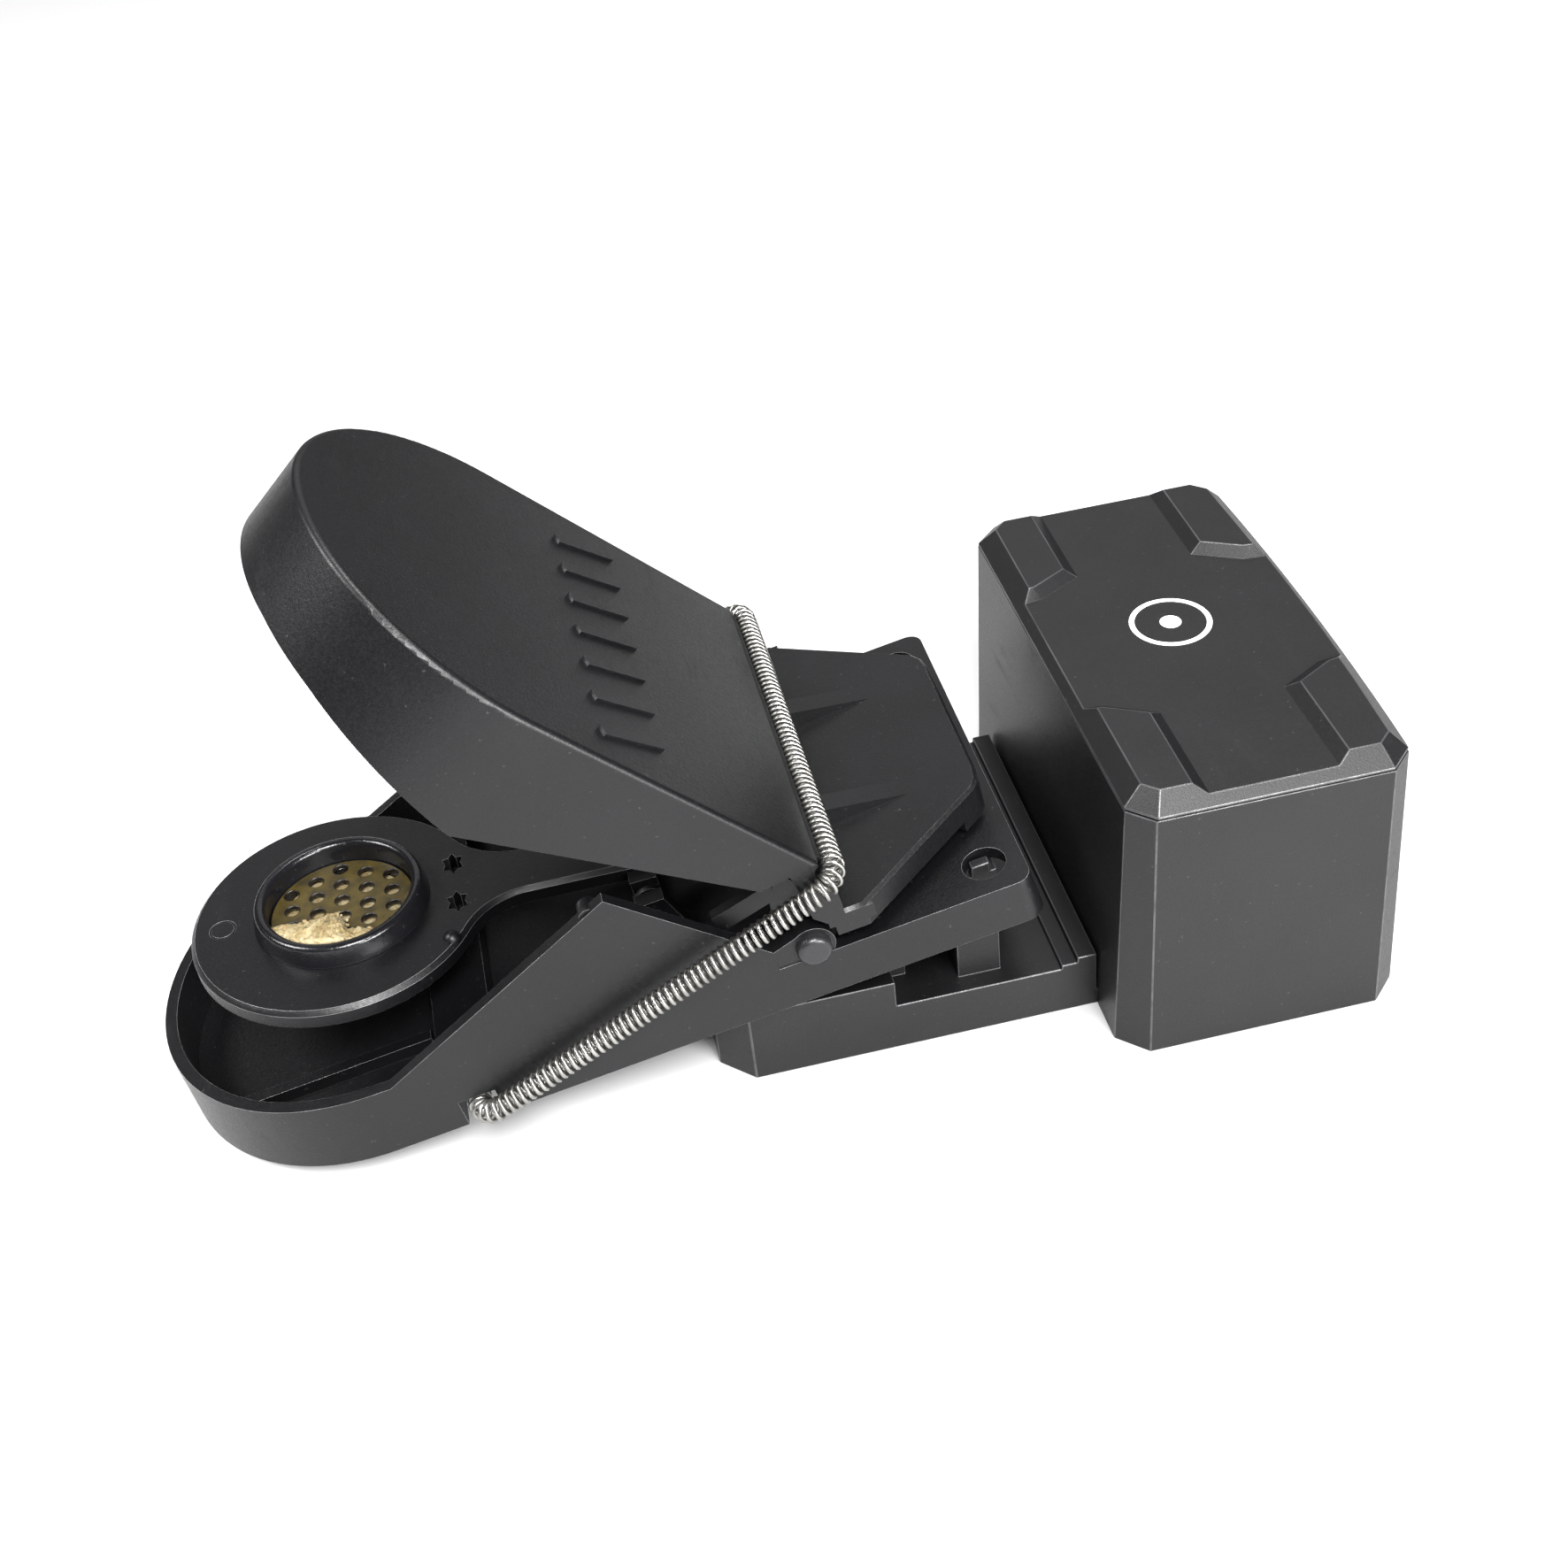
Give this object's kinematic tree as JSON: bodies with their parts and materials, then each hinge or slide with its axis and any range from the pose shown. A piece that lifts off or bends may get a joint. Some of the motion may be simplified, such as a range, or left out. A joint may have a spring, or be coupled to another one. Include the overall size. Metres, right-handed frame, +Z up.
{
  "type": "snap trap with sensor",
  "caption": "Jaw-type snap mouse trap, set and clipped nose down on the cradle of a battery-powered box that reports when the trap has closed.",
  "frame": {"origin": "centre of the sensor housing's footprint, on the ground", "axes": "+Z up, the trap's nose points to -X, y = 0 is the plane of symmetry"},
  "size_m": [0.1357, 0.0594, 0.0723],
  "materials": {
    "case_plastic": "fine-grained matte moulding",
    "trap_plastic": "satin moulding with slightly glossy edges",
    "seal_rubber": "smooth",
    "plated_steel": "zinc plated",
    "pin_plastic": "satin",
    "cup_plastic": "polished moulding",
    "holder_plastic": "satin",
    "cell_jacket": "printed foil, no marks",
    "spring_steel": "bright drawn wire",
    "board_laminate": "green solder mask",
    "shield_can": "tinned can",
    "antenna_sleeve": "heat-shrink sleeve",
    "chip_resin": "moulded resin",
    "bait_paste": "dry crumbly paste",
    "bait_yellow": "mustard yellow, semi-gloss"
  },
  "bodies": {
    "sensor_unit": {"sensor_housing": "case_plastic", "sensor_lid": "case_plastic", "cover_gasket": "seal_rubber", "cradle": "case_plastic", "cover_screws": "plated_steel", "battery_holder": "holder_plastic", "batteries": "cell_jacket", "battery_contacts": "spring_steel", "circuit_board": "board_laminate", "board_screws": "plated_steel", "radio_module": "shield_can", "antenna": "antenna_sleeve", "motion_sensor": "shield_can", "controller_chip": "chip_resin"},
    "trap_body": {"trap_base": "trap_plastic", "jaw_pins": "pin_plastic", "trigger_pin": "plated_steel", "power_spring": "spring_steel"},
    "jaw": {"jaw": "trap_plastic"},
    "trigger": {"trigger_plate": "trap_plastic", "bait_cup": "cup_plastic", "bait": "bait_paste", "bait_grid": "bait_yellow"}
  },
  "joints": [
    {"name": "trap_lift", "type": "slide", "parent": "sensor_unit", "child": "trap_body", "axis": [0, 0, 1], "range_m": [0, 0.006]},
    {"name": "jaw_hinge", "type": "hinge", "parent": "trap_body", "child": "jaw", "pos_m": [-0.04782, 0, 0.02021], "axis": [0, -1, 0], "range_deg": [-2, 35.5], "deforming": ["power_spring"]},
    {"name": "trigger_tilt", "type": "hinge", "parent": "trap_body", "child": "trigger", "pos_m": [-0.06287, 0, 0.01581], "axis": [0, -1, 0], "range_deg": [0, 3]}
  ]
}
